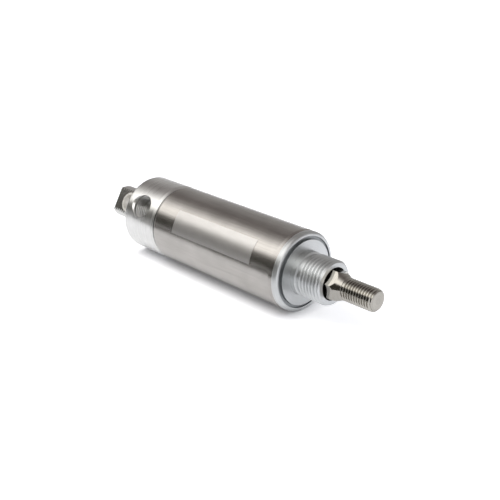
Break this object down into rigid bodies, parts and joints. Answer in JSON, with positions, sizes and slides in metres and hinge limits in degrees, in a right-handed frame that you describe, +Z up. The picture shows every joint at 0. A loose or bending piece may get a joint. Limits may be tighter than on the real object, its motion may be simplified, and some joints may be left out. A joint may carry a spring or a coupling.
{
  "type": "pneumatic cylinder",
  "caption": "Round-body single-acting air cylinder with spring return, threaded nose mount, hexagonal non-turning rod and a drilled rear pivot stud.",
  "frame": {"origin": "on the cylinder's axis, in the mounting face that the threaded nose stands on", "axes": "+X along the axis, the way the rod comes out; +Z up as the cylinder lies in the picture, with the port facing -Y and 33 degrees up"},
  "size_m": [0.1326, 0.0284, 0.0284],
  "materials": {
    "tube_stainless": "bright drawn stainless tube",
    "cap_aluminium": "turned, satin",
    "rod_stainless": "bright drawn bar with cut thread",
    "bushing_bronze": "sintered, oily",
    "piston_aluminium": "turned",
    "nitrile_rubber": "moulded, matt",
    "urethane_bumper": "moulded, satin",
    "acetal": "turned plastic",
    "spring_steel": "drawn wire",
    "zinc_steel": "zinc plated",
    "label_film": "silvery polyester film"
  },
  "bodies": {
    "barrel": {"cylinder_tube": "tube_stainless", "front_cap": "cap_aluminium", "front_cap_oring": "nitrile_rubber", "rod_bushing": "bushing_bronze", "rod_wiper": "nitrile_rubber", "bushing_retainer": "zinc_steel", "stop_tube": "piston_aluminium", "front_bumper": "urethane_bumper", "return_spring": "spring_steel", "rear_cap": "cap_aluminium", "rear_cap_oring": "nitrile_rubber", "rear_bumper": "urethane_bumper", "pivot_bushing": "bushing_bronze", "label": "label_film"},
    "rod_assembly": {"piston_rod": "rod_stainless", "piston": "piston_aluminium", "piston_seal": "nitrile_rubber", "piston_wear_ring": "acetal", "rod_to_piston_oring": "nitrile_rubber", "lock_washer": "zinc_steel", "piston_nut": "zinc_steel", "spring_seat": "zinc_steel"}
  },
  "joints": [
    {"name": "rod_slide", "type": "slide", "parent": "barrel", "child": "rod_assembly", "axis": [1, 0, 0], "range_m": [0, 0.0254], "stiffness_N_per_m": 1300, "springref_m": -0.01, "deforming": ["return_spring"]}
  ]
}
